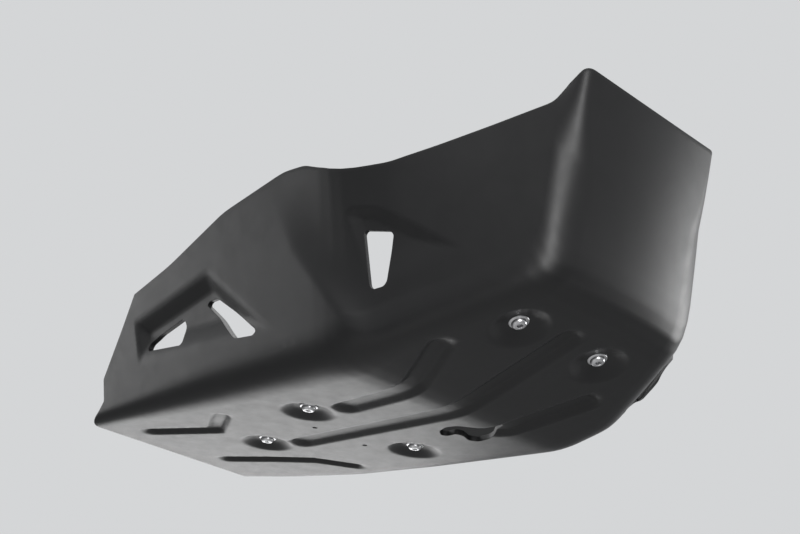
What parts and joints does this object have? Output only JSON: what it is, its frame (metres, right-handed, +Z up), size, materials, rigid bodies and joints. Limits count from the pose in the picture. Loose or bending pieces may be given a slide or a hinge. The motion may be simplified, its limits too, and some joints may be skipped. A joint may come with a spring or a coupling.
{
  "type": "motorcycle engine guard",
  "caption": "Moulded plastic engine guard, a deep trough with a flat ribbed floor, front ramp and wall, vented sides and dished bolt seats with bright button-head bolts.",
  "frame": {"origin": "centre of the bounding box in plan, at the height of the flat underside", "axes": "+X forward, toward the front wheel; +Y the left side of the motorcycle; +Z up, from the underside toward the engine"},
  "size_m": [0.6112, 0.3729, 0.2374],
  "materials": {
    "moulding": "satin, fine grained",
    "bolt_steel": "satin stainless"
  },
  "bodies": {
    "root": {"guard_shell": "moulding", "mounting_bolts": "bolt_steel"}
  },
  "joints": []
}
